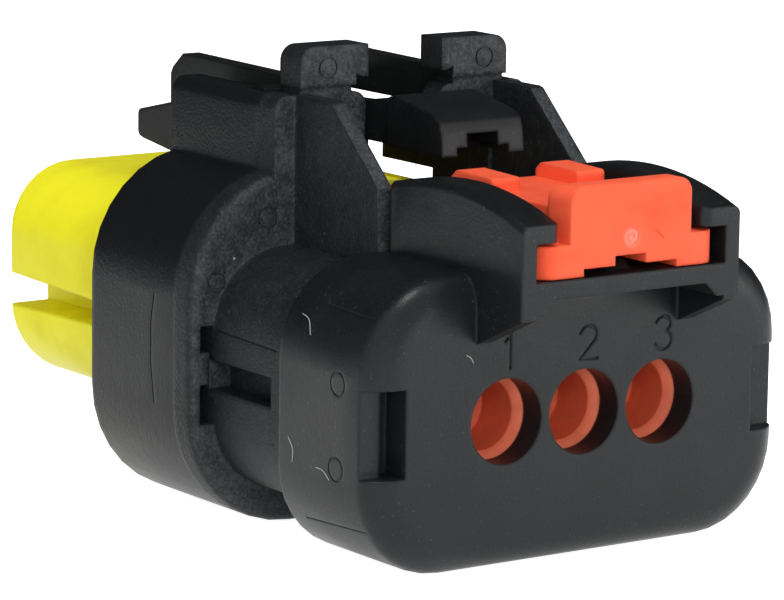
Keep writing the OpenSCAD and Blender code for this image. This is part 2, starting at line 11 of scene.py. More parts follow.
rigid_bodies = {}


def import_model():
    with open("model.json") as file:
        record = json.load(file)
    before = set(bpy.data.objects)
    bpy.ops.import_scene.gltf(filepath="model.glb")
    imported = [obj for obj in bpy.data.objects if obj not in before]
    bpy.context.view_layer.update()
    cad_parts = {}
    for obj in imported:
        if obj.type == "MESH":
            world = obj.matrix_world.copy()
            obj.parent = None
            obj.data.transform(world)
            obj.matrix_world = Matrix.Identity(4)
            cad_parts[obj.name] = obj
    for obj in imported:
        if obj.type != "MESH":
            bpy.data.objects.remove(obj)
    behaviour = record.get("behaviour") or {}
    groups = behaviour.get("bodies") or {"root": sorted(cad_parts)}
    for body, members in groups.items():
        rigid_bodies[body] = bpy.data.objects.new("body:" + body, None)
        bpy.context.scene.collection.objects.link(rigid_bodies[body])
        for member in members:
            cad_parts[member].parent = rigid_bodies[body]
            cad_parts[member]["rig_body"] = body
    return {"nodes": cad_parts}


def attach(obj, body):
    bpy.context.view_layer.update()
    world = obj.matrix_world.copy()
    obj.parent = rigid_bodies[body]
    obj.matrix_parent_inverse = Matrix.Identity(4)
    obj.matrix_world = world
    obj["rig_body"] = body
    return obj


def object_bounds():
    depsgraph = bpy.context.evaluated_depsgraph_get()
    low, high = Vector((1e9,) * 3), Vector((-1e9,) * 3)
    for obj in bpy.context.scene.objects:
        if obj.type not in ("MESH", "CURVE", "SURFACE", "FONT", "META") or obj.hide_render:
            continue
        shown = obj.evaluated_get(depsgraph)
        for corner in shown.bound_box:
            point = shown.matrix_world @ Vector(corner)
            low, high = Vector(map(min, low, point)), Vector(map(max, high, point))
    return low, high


bl_info = {
    "name": "Sealed connector looks",
    "version": (1, 0, 0),
    "blender": (4, 5, 0),
    "location": "3D View > Sidebar > Connector",
    "description": "Dresses the packed connector: plastics, seals, moulding marks and lint",
    "category": "Object",
}

MM = 0.001
# Planes of the mouldings that carry marks
COVER_REAR = 0.0
LOCK_REAR = -3.25 * MM
POST_REAR = 14.8 * MM
FLANGE_REAR = 15.0 * MM
NECK_SIDE = 10.9 * MM
COVER_SIDE = 12.1 * MM
SHROUD_SIDE = 12.15 * MM
GATE = (0.03 * MM, LOCK_REAR, 8.71 * MM)
# The grained flange ends here and the smooth shroud begins
GRAIN_END = 16.3 * MM
SHARP_ANGLE = math.radians(27)
LINT_RADIUS = 0.02 * MM
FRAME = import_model()
CAD_BOX = [list(corner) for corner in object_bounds()]


# ---------------------------------------------------------------- settings


class FinishSettings(bpy.types.PropertyGroup):
    """Colours and surface sizes of the plastics and seals"""

    black: FloatVectorProperty(
        name="Black", description="Colour of the rear cover and of the smooth shroud",
        default=(0.0075, 0.0082, 0.009), subtype="COLOR", min=0, max=1,
    )
    # Painted light: this lighter colour shows mainly on the rear-facing walls of the grained
    # housing, in grain patches
    painted_light_grain_black: FloatVectorProperty(
        name="Grained black", description="Colour of the housing where it is grained",
        default=(0.055, 0.060, 0.063), subtype="COLOR", min=0, max=1,
    )
    lever_black: FloatVectorProperty(
        name="Lever black", description="Colour of the latch lever",
        default=(0.0065, 0.007, 0.0075), subtype="COLOR", min=0, max=1,
    )
    brick: FloatVectorProperty(
        name="Brick", description="Colour of the silicone seals",
        default=(0.64, 0.105, 0.045), subtype="COLOR", min=0, max=1,
    )
    # Painted light: the mouth of each seal bore is painted paler than the rubber deeper in the
    # bore, which stays darker as painted shade
    lit_mouth_coral: FloatVectorProperty(
        name="Coral", description="Colour of the painted_lit mouth of each seal bore",
        default=(0.70, 0.155, 0.080), subtype="COLOR", min=0, max=1,
    )
    yellow: FloatVectorProperty(
        name="Yellow", description="Colour of the wedge lock",
        default=(0.90, 0.83, 0.012), subtype="COLOR", min=0, max=1,
    )
    red: FloatVectorProperty(
        name="Red", description="Colour of the position lock",
        default=(0.95, 0.122, 0.052), subtype="COLOR", min=0, max=1,
    )
    grain: FloatProperty(
        name="Grain", description="Width of one bump of the moulded grain",
        default=0.00016, min=0.00005, max=0.001, unit="LENGTH", precision=6,
    )
    edge_round: FloatProperty(
        name="Edge rounding", description="Radius of the moulded edges",
        default=0.00022, min=0.00002, max=0.0005, unit="LENGTH", precision=6,
    )
    mark_depth: FloatProperty(
        name="Mark depth", description="Depth of the sunk numerals and rings",
        default=0.00009, min=0.00002, max=0.0002, unit="LENGTH", precision=6,
    )
    numeral_height: FloatProperty(
        name="Numeral height", description="Height of the way numbers",
        default=0.0016, min=0.001, max=0.002, unit="LENGTH", precision=5,
    )


class StudioSettings(bpy.types.PropertyGroup):
    """Camera and lamps"""

    azimuth: FloatProperty(
        name="Azimuth", description="Turn of the camera round the connector",
        default=math.radians(-35.228), subtype="ANGLE",
    )
    elevation: FloatProperty(
        name="Elevation", description="Height of the camera over the horizon",
        default=math.radians(10.368), subtype="ANGLE",
    )
    roll: FloatProperty(
        name="Roll", description="Turn of the camera about its own axis",
        default=math.radians(0.808), subtype="ANGLE",
    )
    distance: FloatProperty(
        name="Distance", description="From the camera to the point it looks at",
        default=0.19013, min=0.05, max=2, unit="LENGTH",
    )
    target: FloatVectorProperty(
        name="Target", description="Point that the camera looks at",
        default=(-0.011049, 0.0, 0.006313), subtype="XYZ", unit="LENGTH",
    )
    lens: FloatProperty(
        name="Lens", description="Focal length in millimetres", default=194.3, min=20, max=400,
    )
    key_power: FloatProperty(
        name="Key", description="Power of the key lamp", default=0.5, min=0, unit="POWER",
    )
    top_power: FloatProperty(
        name="Top", description="Power of the overhead lamp", default=0.58, min=0, unit="POWER",
    )
    side_power: FloatProperty(
        name="Side", description="Power of the low side lamp", default=0.02, min=0, unit="POWER",
    )
    fill_power: FloatProperty(
        name="Fill", description="Power of the soft lamp beside the camera",
        default=1.1, min=0, unit="POWER",
    )
    ambient: FloatProperty(
        name="Ambient", description="Strength of the room light", default=0.62, min=0, max=2,
    )


# ------------------------------------------------------------ shader groups


class Wires:
    """Adds nodes to a tree in reading order and links them."""

    def __init__(self, tree):
        self.tree = tree
        self.column = 0

    def add(self, kind, values=None, **settings):
        node = self.tree.nodes.new(kind)
        self.column += 1
        node.location = (180 * self.column, -120 * (self.column % 4))
        for name, value in settings.items():
            setattr(node, name, value)
        for name, value in (values or {}).items():
            self.put(node.inputs[name], value)
        return node

    def put(self, socket, value):
        if isinstance(value, bpy.types.NodeSocket):
            self.tree.links.new(value, socket)
        else:
            socket.default_value = value

    def math(self, operation, a, b=0.0, clamp=False):
        node = self.add("ShaderNodeMath", operation=operation, use_clamp=clamp)
        self.put(node.inputs[0], a)
        self.put(node.inputs[1], b)
        return node.outputs[0]

    def ramp(self, value, low, high, out_low=0.0, out_high=1.0):
        node = self.add("ShaderNodeMapRange", interpolation_type="SMOOTHSTEP")
        for name, v in (("Value", value), ("From Min", low), ("From Max", high),
                        ("To Min", out_low), ("To Max", out_high)):
            self.put(node.inputs[name], v)
        return node.outputs[0]

    def mix(self, factor, a, b, blend="MIX"):
        node = self.add("ShaderNodeMix", data_type="RGBA", blend_type=blend)
        for socket, value in zip([node.inputs[0], node.inputs[6], node.inputs[7]],
                                 [factor, a, b]):
            self.put(socket, value)
        return node.outputs[2]

    def noise(self, place, scale, detail=2.0, rough=0.5):
        node = self.add("ShaderNodeTexNoise",
                        {"Vector": place, "Scale": scale, "Detail": detail, "Roughness": rough})
        return node.outputs["Fac"]


def new_group(name, inputs, outputs):
    tree = bpy.data.node_groups.new(name, "ShaderNodeTree")
    for label, kind, default in inputs:
        socket = tree.interface.new_socket(label, in_out="INPUT", socket_type=kind)
        if default is not None:
            socket.default_value = default
    for label, kind in outputs:
        tree.interface.new_socket(label, in_out="OUTPUT", socket_type=kind)
    w = Wires(tree)
    return tree, w, w.add("NodeGroupInput"), w.add("NodeGroupOutput")


def moulded_grain_group():
    """Fine spark-eroded grain: its height, and a mask where a grain top would shine, which is
    painted on as a painted glint.
    """
    tree, w, into, out = new_group(
        "moulded_grain",
        [("Place", "NodeSocketVector", None), ("Grain", "NodeSocketFloat", 0.00016)],
        [("Height", "NodeSocketFloat"), ("Fleck", "NodeSocketFloat")],
    )
    scale = w.math("DIVIDE", 1.0, into.outputs["Grain"])
    fine = w.noise(into.outputs["Place"], scale, 3.0, 0.65)
    coarse = w.noise(into.outputs["Place"], w.math("MULTIPLY", scale, 0.22), 2.0)
    height = w.math("ADD", w.math("MULTIPLY", fine, 0.8), w.math("MULTIPLY", coarse, 0.45))
    w.put(out.inputs["Height"], height)
    w.put(out.inputs["Fleck"], w.ramp(fine, 0.62, 0.78))
    return tree


def handling_group():
    """Slow change of gloss where the part was touched or flowed unevenly in the mould."""
    tree, w, into, out = new_group(
        "handling",
        [("Place", "NodeSocketVector", None), ("Size", "NodeSocketFloat", 0.004),
         ("Low", "NodeSocketFloat", 0.4), ("High", "NodeSocketFloat", 0.55)],
        [("Roughness", "NodeSocketFloat"), ("Cloud", "NodeSocketFloat")],
    )
    scale = w.math("DIVIDE", 1.0, into.outputs["Size"])
    cloud = w.noise(into.outputs["Place"], scale, 4.0, 0.6)
    w.put(out.inputs["Cloud"], cloud)
    w.put(out.inputs["Roughness"],
          w.ramp(cloud, 0.3, 0.7, into.outputs["Low"], into.outputs["High"]))
    return tree


def dust_group():
    """Sparse pale specks of dust."""
    tree, w, into, out = new_group(
        "dust",
        [("Place", "NodeSocketVector", None), ("Spacing", "NodeSocketFloat", 0.0011),
         ("Amount", "NodeSocketFloat", 0.12)],
        [("Speck", "NodeSocketFloat")],
    )
    scale = w.math("DIVIDE", 1.0, into.outputs["Spacing"])
    cells = w.add("ShaderNodeTexVoronoi",
                  {"Vector": into.outputs["Place"], "Scale": scale, "Randomness": 1.0})
    near = w.ramp(cells.outputs["Distance"], 0.035, 0.06, 1.0, 0.0)
    shade = w.add("ShaderNodeSeparateColor", {"Color": cells.outputs["Color"]})
    chosen = w.math("LESS_THAN", shade.outputs["Red"], into.outputs["Amount"])
    w.put(out.inputs["Speck"], w.math("MULTIPLY", near, chosen))
    return tree


GROUPS = {}


def shader_group(name):
    if name not in GROUPS:
        GROUPS[name] = {"grain": moulded_grain_group, "handling": handling_group,
                        "dust": dust_group}[name]()
    return GROUPS[name]


def place_group(w, name, values):
    return w.add("ShaderNodeGroup", values, node_tree=shader_group(name))


# ---------------------------------------------------------------- materials


def start_material(name):
    material = bpy.data.materials.new(name)
    material.use_nodes = True
    tree = material.node_tree
    tree.nodes.clear()
    w = Wires(tree)
    place = w.add("ShaderNodeTexCoord").outputs["Object"]
    shader = w.add("ShaderNodeBsdfPrincipled")
    end = w.add("ShaderNodeOutputMaterial")
    w.put(end.inputs["Surface"], shader.outputs["BSDF"])
    return material, w, place, shader


def soft_normal(w, height, depth, radius):
    """Bump over edges that the shader rounds."""
    rounded = w.add("ShaderNodeBevel", {"Radius": radius}, samples=4)
    bump = w.add("ShaderNodeBump", {"Height": height, "Distance": depth, "Strength": 1.0,
                                    "Normal": rounded.outputs["Normal"]})
    return bump.outputs["Normal"]


def black_plastic(name, colour, gloss, depth, edge, level, smooth_from=None):
    """Glass-filled black, grained up to smooth_from along Y; there, rear-facing walls are painted
    lighter as painted light.
    """
    look = bpy.context.scene.connector_finish
    material, w, place, shader = start_material(name)
    grain = place_group(w, "grain", {"Place": place, "Grain": look.grain})
    touch = place_group(w, "handling", {"Place": place, "Size": 0.0045,
                                        "Low": gloss[0], "High": gloss[1]})
    dust = place_group(w, "dust", {"Place": place, "Spacing": 0.0014, "Amount": 0.08})
    height, painted_glint = grain.outputs["Height"], grain.outputs["Fleck"]
    rough = touch.outputs["Roughness"]
    base = w.mix(w.ramp(touch.outputs["Cloud"], 0.35, 0.75),
                 (*colour, 1), (*[c * 1.35 for c in colour], 1))
    if smooth_from is not None:
        along = w.add("ShaderNodeSeparateXYZ", {"Vector": place}).outputs["Y"]
        # Painted light: walls facing rearwards take the lighter grained colour, other walls much
        # less of it
        facing = w.add("ShaderNodeNewGeometry").outputs["Normal"]
        rear_facing_painted_light = w.ramp(w.add("ShaderNodeSeparateXYZ", {"Vector": facing}).outputs["Y"],
                          -0.85, -0.35, 1.0, 0.22)
        rough_side = w.ramp(along, smooth_from, smooth_from + 0.5 * MM, 1.0, 0.0)
        patchy = w.ramp(grain.outputs["Height"], 0.46, 0.84, 0.25, 1.0)
        painted_light_and_grain = w.mix(w.math("MULTIPLY", rear_facing_painted_light, patchy, clamp=True),
                         (*look.black, 1), base)
        base = w.mix(rough_side, (*look.black, 1), painted_light_and_grain)
        height = w.math("MULTIPLY", height, w.ramp(rough_side, 0.0, 1.0, 0.4, 1.0))
        painted_glint = w.math("MULTIPLY", painted_glint, rough_side)
        rough = w.math("ADD", w.math("MULTIPLY", rough_side, 0.12), 0.33)
    # Painted highlight: grain tops that would shine are painted a paler grey
    bright = w.mix(w.math("MULTIPLY", painted_glint, 0.5), base, (0.12, 0.125, 0.13, 1))
    dusty = w.mix(w.math("MULTIPLY", dust.outputs["Speck"], 0.55), bright, (0.45, 0.46, 0.46, 1))
    w.put(shader.inputs["Base Color"], dusty)
    w.put(shader.inputs["Roughness"], rough)
    shader.inputs["Specular IOR Level"].default_value = level
    w.put(shader.inputs["Normal"], soft_normal(w, height, depth, edge))
    return material


def seal_rubber():
    look = bpy.context.scene.connector_finish
    material, w, place, shader = start_material("silicone_rubber")
    grain = place_group(w, "grain", {"Place": place, "Grain": look.grain * 1.5})
    touch = place_group(w, "handling",
                        {"Place": place, "Size": 0.0012, "Low": 0.42, "High": 0.62})
    along = w.add("ShaderNodeSeparateXYZ", {"Vector": place}).outputs["Y"]
    # Painted light and shade: paler coral at the bore mouth, darker brick deeper in
    mouth = w.ramp(along, 1.6 * MM, 2.0 * MM, 1.0, 0.0)
    colour = w.mix(mouth, (*look.brick, 1), (*look.lit_mouth_coral, 1))
    cloudy = w.mix(w.ramp(touch.outputs["Cloud"], 0.3, 0.75), colour,
                   (0.22, 0.05, 0.03, 1))
    soft = w.mix(0.25, colour, cloudy)
    w.put(shader.inputs["Base Color"], soft)
    w.put(shader.inputs["Roughness"], touch.outputs["Roughness"])
    shader.inputs["Specular IOR Level"].default_value = 0.35
    w.put(shader.inputs["Normal"],
          soft_normal(w, grain.outputs["Height"], 0.000006, 0.00012))
    return material


def bright_plastic(name, colour, shade, rough_low, rough_high, glow, gate=None):
    """Coloured satin plastic with faint flow marks, paler round its gate point."""
    look = bpy.context.scene.connector_finish
    material, w, place, shader = start_material(name)
    grain = place_group(w, "grain", {"Place": place, "Grain": look.grain * 1.2})
    touch = place_group(w, "handling",
                        {"Place": place, "Size": 0.003, "Low": rough_low, "High": rough_high})
    dust = place_group(w, "dust", {"Place": place, "Spacing": 0.0019, "Amount": 0.03})
    flow = w.mix(w.ramp(touch.outputs["Cloud"], 0.4, 0.8), (*colour, 1), (*shade, 1))
    soft = w.mix(0.5, (*colour, 1), flow)
    if gate is not None:
        away = w.add("ShaderNodeVectorMath", operation="DISTANCE")
        w.put(away.inputs[0], place)
        w.put(away.inputs[1], gate)
        near = w.ramp(away.outputs["Value"], 0.25 * MM, 0.60 * MM, 0.40, 0.0)
        soft = w.mix(near, soft, (0.95, 0.42, 0.32, 1))
    dusty = w.mix(w.math("MULTIPLY", dust.outputs["Speck"], 0.3), soft, (0.9, 0.85, 0.75, 1))
    w.put(shader.inputs["Base Color"], dusty)
    w.put(shader.inputs["Roughness"], touch.outputs["Roughness"])
    shader.inputs["Specular IOR Level"].default_value = 0.13
    shader.inputs["Subsurface Weight"].default_value = glow
    shader.inputs["Subsurface Radius"].default_value = (0.0012, 0.0008, 0.0003)
    shader.inputs["Subsurface Scale"].default_value = 0.6
    w.put(shader.inputs["Normal"],
          soft_normal(w, grain.outputs["Height"], 0.000005, look.edge_round))
    return material


def lint_fibre():
    material, w, place, shader = start_material("pale_lint")
    touch = place_group(w, "handling", {"Place": place, "Size": 0.0004})
    w.put(shader.inputs["Base Color"],
          w.mix(touch.outputs["Cloud"], (0.25, 0.25, 0.24, 1), (0.48, 0.48, 0.46, 1)))
    w.put(shader.inputs["Roughness"], touch.outputs["Roughness"])
    return material


def crisp_shading():
    """Geometry nodes that shade round walls smooth and keep real edges sharp."""
    if "crisp_shading" in bpy.data.node_groups:
        return bpy.data.node_groups["crisp_shading"]
    tree = bpy.data.node_groups.new("crisp_shading", "GeometryNodeTree")
    for label, way, kind in (("Mesh", "INPUT", "NodeSocketGeometry"),
                             ("Mesh", "OUTPUT", "NodeSocketGeometry")):
        tree.interface.new_socket(label, in_out=way, socket_type=kind)
    w = Wires(tree)
    into = w.add("NodeGroupInput")
    bare = w.add("GeometryNodeRemoveAttribute", {"Geometry": into.outputs[0],
                                                 "Name": "custom_normal"})
    faces = w.add("GeometryNodeSetShadeSmooth", {"Geometry": bare.outputs[0],
                                                 "Shade Smooth": True}, domain="FACE")
    angle = w.add("GeometryNodeInputMeshEdgeAngle").outputs["Unsigned Angle"]
    sharp = w.math("GREATER_THAN", angle, SHARP_ANGLE)
    flat = w.math("SUBTRACT", 1.0, sharp)
    edges = w.add("GeometryNodeSetShadeSmooth", {"Geometry": faces.outputs[0],
                                                 "Shade Smooth": flat}, domain="EDGE")
    w.add("NodeGroupOutput", {0: edges.outputs[0]})
    return tree


def finish_node(name, material):
    """Gives a solid of the frame its finish, with smooth round walls and crisp edges."""
    node = FRAME["nodes"][name]
    node.data.materials.clear()
    node.data.materials.append(material)
    weld = node.modifiers.new("weld", "WELD")
    weld.merge_threshold = 0.0000003
    node.modifiers.new("crisp_shading", "NODES").node_group = crisp_shading()
    return node


# ------------------------------------------------------------ moulding marks


def ring_line(x, z, radius, turns=28):
    return [(x + radius * math.cos(2 * math.pi * i / turns),
             z + radius * math.sin(2 * math.pi * i / turns)) for i in range(turns + 1)]


def arc(cx, cz, rx, rz, a0, a1, steps=10):
    return [(cx + rx * math.cos(math.radians(a0 + (a1 - a0) * i / steps)),
             cz + rz * math.sin(math.radians(a0 + (a1 - a0) * i / steps)))
            for i in range(steps + 1)]


def numeral_strokes(number):
    """Centre lines of a numeral in a box one high, standing on z 0 about x 0."""
    if number == 1:
        return [[(-0.16, 0.80), (0.02, 1.0)], [(0.02, 1.0), (0.02, 0.0)]]
    if number == 2:
        return [arc(0, 0.73, 0.30, 0.27, 165, -40, 12) + [(-0.32, 0.0), (0.34, 0.0)]]
    return [arc(-0.02, 0.77, 0.27, 0.23, 160, -75, 10) + arc(-0.02, 0.28, 0.31, 0.28, 75, -155, 12)]


def stroke_solid(bm, line, width, depth, to_world):
    """A square-cut groove cutter that follows a line drawn in the plane of a face."""
    closed = (Vector(line[0]) - Vector(line[-1])).length < 1e-9
    points = [Vector(p) for p in (line[:-1] if closed else line)]
    count = len(points)
    rows = []
    for i, p in enumerate(points):
        before = points[i - 1] if i or closed else p
        after = points[(i + 1) % count] if i < count - 1 or closed else p
        way = (after - before).normalized()
        side = Vector((-way.y, way.x)) * (width / 2)
        ends = Vector((0, 0))
        if not closed and i in (0, count - 1):
            ends = way * (width / 2) * (-1 if i == 0 else 1)
        rows.append([bm.verts.new(to_world(*(p + ends + s * side), d))
                     for s, d in ((-1, -depth), (1, -depth), (1, depth), (-1, depth))])
    last = count if closed else count - 1
    for i in range(last):
        a, b = rows[i], rows[(i + 1) % count]
        for k in range(4):
            bm.faces.new((a[k], a[(k + 1) % 4], b[(k + 1) % 4], b[k]))
    if not closed:
        bm.faces.new(rows[0][::-1])
        bm.faces.new(rows[-1])


def rear_plane(y):
    """Places a drawing in X and Z on the plane of a rear face, depth going inwards."""
    return lambda u, v, d: Vector((u, y + d, v))


def side_plane(x):
    """Places a drawing in Y and Z on the plane of a left face, depth going inwards."""
    return lambda u, v, d: Vector((x + d, u, v))


def round_side(half_width, half_height, corner, middle_z=0.0):
    """Places a drawing in Y and Z on the left side of a body with round long edges."""
    def place(u, v, d):
        over = abs(v - middle_z) - (half_height - corner)
        if over <= 0:
            return Vector((d - half_width, u, v))
        turn = math.asin(min(over / corner, 0.98))
        reach = corner - d
        up = math.copysign(half_height - corner + reach * math.sin(turn), v - middle_z)
        return Vector((-(half_width - corner) - reach * math.cos(turn), u, middle_z + up))
    return place


def millimetres(points):
    return [(u * MM, v * MM) for u, v in points]


def cut_marks(name, node, strokes):
    """Sinks strokes into a solid with a boolean, leaving its own mesh as it is."""
    bm = bmesh.new()
    for line, width, depth, to_world in strokes:
        stroke_solid(bm, line, width, depth, to_world)
    bmesh.ops.recalc_face_normals(bm, faces=bm.faces)
    mesh = bpy.data.meshes.new(name)
    bm.to_mesh(mesh)
    bm.free()
    cutter = bpy.data.objects.new(name, mesh)
    bpy.context.scene.collection.objects.link(cutter)
    cutter.hide_render = True
    cutter.hide_viewport = True
    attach(cutter, node["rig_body"])
    modifier = node.modifiers.new(name, "BOOLEAN")
    modifier.operation = "DIFFERENCE"
    modifier.solver = "EXACT"
    modifier.use_self = True
    modifier.object = cutter
    node.modifiers.move(len(node.modifiers) - 1, 1)


def cover_marks():
    """Way numbers on the rear face; ejector ovals and parting lines on the side."""
    look = bpy.context.scene.connector_finish
    tall, depth = look.numeral_height, look.mark_depth
    strokes = []
    for number, x, z in ((1, -4.36, 2.52), (2, 0.18, 2.47), (3, 4.66, 2.5)):
        for line in numeral_strokes(number):
            drawn = [(x * MM + u * tall, z * MM + v * tall) for u, v in line]
            strokes.append((drawn, 0.00015, depth, rear_plane(COVER_REAR)))
    side = round_side(COVER_SIDE, 7 * MM, 4.5 * MM)
    for y, z in ((2.71, 2.1), (2.81, -1.9)):
        strokes.append((ring_line(y * MM, z * MM, 0.55 * MM), 0.00008, depth * 0.5, side))
    for line in ([(4.9, 5.3), (3.4, 5.25), (2.0, 5.2), (0.6, 5.2)],
                 [(6.1, -4.9), (3.4, -4.75), (0.6, -4.6)]):
        strokes.append((millimetres(line), 0.00008, depth * 0.6, side))
    return strokes


def housing_marks():
    """Ejector rings on the posts and the flange; parting lines on neck and shroud."""
    depth = bpy.context.scene.connector_finish.mark_depth
    strokes = []
    for x, z, r, plane in ((-4.57, 14.75, 0.50, POST_REAR), (4.77, 14.73, 0.50, POST_REAR),
                           (-7.86, 7.66, 0.52, FLANGE_REAR), (-10.75, 4.75, 0.48, FLANGE_REAR)):
        strokes.append((ring_line(x * MM, z * MM, r * MM), 0.00009, depth * 0.8,
                        rear_plane(plane)))
    for line in ([(14.8, 2.5), (9.6, 2.35)], [(14.8, -2.45), (9.8, -2.2)]):
        strokes.append((millimetres(line), 0.00010, depth * 0.7, side_plane(-NECK_SIDE)))
    strokes.append((millimetres([(18.4, 3.9), (18.7, 2.4), (18.7, 0.4), (18.4, -1.5)]),
                    0.00008, depth * 0.6, side_plane(-SHROUD_SIDE)))
    return strokes


def lock_marks():
    """Gate mark and a light scratch on the rear face of the position lock."""
    depth = bpy.context.scene.connector_finish.mark_depth
    swirl = [(0.03 + r * math.cos(a), 8.71 + r * math.sin(a))
             for r, a in ((0.10 + 0.028 * i, 0.62 * i) for i in range(14))]
    return [(millimetres(swirl), 0.00008, depth * 0.4, rear_plane(LOCK_REAR)),
            (millimetres([(1.37, 8.97), (1.91, 8.51)]), 0.00006, depth * 0.5,
             rear_plane(LOCK_REAR))]


# --------------------------------------------------------------------- lint


def lint_piece(name, knots, radius, body, sides=6, steps=5):
    """A thin bent fibre: a tube that follows a smooth line through its knots."""
    ends = [knots[0], *knots, knots[-1]]
    line = []
    for i in range(len(knots) - 1):
        p = [Vector(q) * MM for q in ends[i:i + 4]]
        for k in range(steps + (i == len(knots) - 2)):
            t = k / steps
            line.append(0.5 * (2 * p[1] + (p[2] - p[0]) * t
                               + (2 * p[0] - 5 * p[1] + 4 * p[2] - p[3]) * t ** 2
                               + (3 * p[1] - p[0] - 3 * p[2] + p[3]) * t ** 3))
    bm = bmesh.new()
    rows = []
    for i, place in enumerate(line):
        way = (line[min(i + 1, len(line) - 1)] - line[max(i - 1, 0)]).normalized()
        side = way.cross(Vector((0.6, 0.5, 0.62))).normalized()
        over = way.cross(side)
        rows.append([bm.verts.new(place + radius * (math.cos(a) * side + math.sin(a) * over))
                     for a in (2 * math.pi * j / sides for j in range(sides))])
    for a, b in zip(rows, rows[1:]):
        for k in range(sides):
            bm.faces.new((a[k], a[(k + 1) % sides], b[(k + 1) % sides], b[k]))
    bm.faces.new(rows[0][::-1])
    bm.faces.new(rows[-1])
    bmesh.ops.recalc_face_normals(bm, faces=bm.faces)
    mesh = bpy.data.meshes.new(name)
    bm.to_mesh(mesh)
    bm.free()
    obj = bpy.data.objects.new(name, mesh)
    bpy.context.scene.collection.objects.link(obj)
    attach(obj, body)
    return obj


# ---------------------------------------------------------------- operators


class CONNECTOR_OT_black_parts(bpy.types.Operator):
    """Finish the housing, rear cover and latch lever in black glass-filled plastic"""

    bl_idname = "connector.black_parts"
    bl_label = "Black parts"

    def execute(self, context):
        look = context.scene.connector_finish
        edge = look.edge_round
        # The housing's lighter colour is painted light on its rear-facing walls
        finish_node("housing", black_plastic("grained_black_plastic", look.painted_light_grain_black,
                    (0.5, 0.6), 0.00007, edge * 1.8, 0.15, GRAIN_END))
        finish_node("rear_cover", black_plastic("smooth_black_plastic", look.black,
                    (0.30, 0.40), 0.000016, edge, 0.22))
        finish_node("latch_lever", black_plastic("lever_black_plastic", look.lever_black,
                    (0.34, 0.44), 0.000010, edge, 0.2))
        return {"FINISHED"}


class CONNECTOR_OT_seals(bpy.types.Operator):
    """Finish the wire seal and the interface seal in silicone rubber"""

    bl_idname = "connector.seals"
    bl_label = "Seals"

    def execute(self, context):
        material = seal_rubber()
        for name in ("wire_seal", "interface_seal"):
            finish_node(name, material)
        return {"FINISHED"}


class CONNECTOR_OT_locks(bpy.types.Operator):
    """Finish the wedge lock in yellow and the position lock in red plastic"""

    bl_idname = "connector.locks"
    bl_label = "Locks"

    def execute(self, context):
        look = context.scene.connector_finish
        yellow = bright_plastic("yellow_plastic", look.yellow, (0.70, 0.62, 0.012),
                                0.36, 0.5, 0.12)
        lock = FRAME["nodes"]["position_lock"]
        gate = lock.matrix_world.inverted() @ Vector(GATE)
        red = bright_plastic("red_plastic", look.red, (0.70, 0.05, 0.02), 0.38, 0.52, 0.15, gate)
        finish_node("wedge_lock", yellow)
        finish_node("position_lock", red)
        return {"FINISHED"}


class CONNECTOR_OT_marks(bpy.types.Operator):
    """Sink the way numbers and the ejector rings into the mouldings"""

    bl_idname = "connector.marks"
    bl_label = "Moulding marks"

    def execute(self, context):
        cut_marks("cover_marks", FRAME["nodes"]["rear_cover"], cover_marks())
        cut_marks("housing_marks", FRAME["nodes"]["housing"], housing_marks())
        cut_marks("lock_marks", FRAME["nodes"]["position_lock"], lock_marks())
        return {"FINISHED"}


class CONNECTOR_OT_lint(bpy.types.Operator):
    """Lay the few lint fibres that cling to the grain"""

    bl_idname = "connector.lint"
    bl_label = "Lint"

    def execute(self, context):
        material = lint_fibre()
        fibres = {
            "lint_upper": [(-12.105, 5.6, 4.9), (-12.115, 5.05, 4.7), (-12.105, 4.95, 4.0)],
            "lint_lower": [(-12.105, 6.7, -1.1), (-12.115, 6.3, -1.6), (-12.105, 6.35, -2.2)],
            "lint_front": [(-12.105, 4.4, -2.1), (-12.115, 3.8, -2.15), (-12.105, 3.3, -2.5)],
            "lint_rear": [(-6.85, -0.01, 3.35), (-6.6, -0.02, 3.2), (-6.45, -0.01, 2.95)],
        }
        for name, points in fibres.items():
            lint_piece(name, points, LINT_RADIUS, "housing_body").data.materials.append(material)
        return {"FINISHED"}


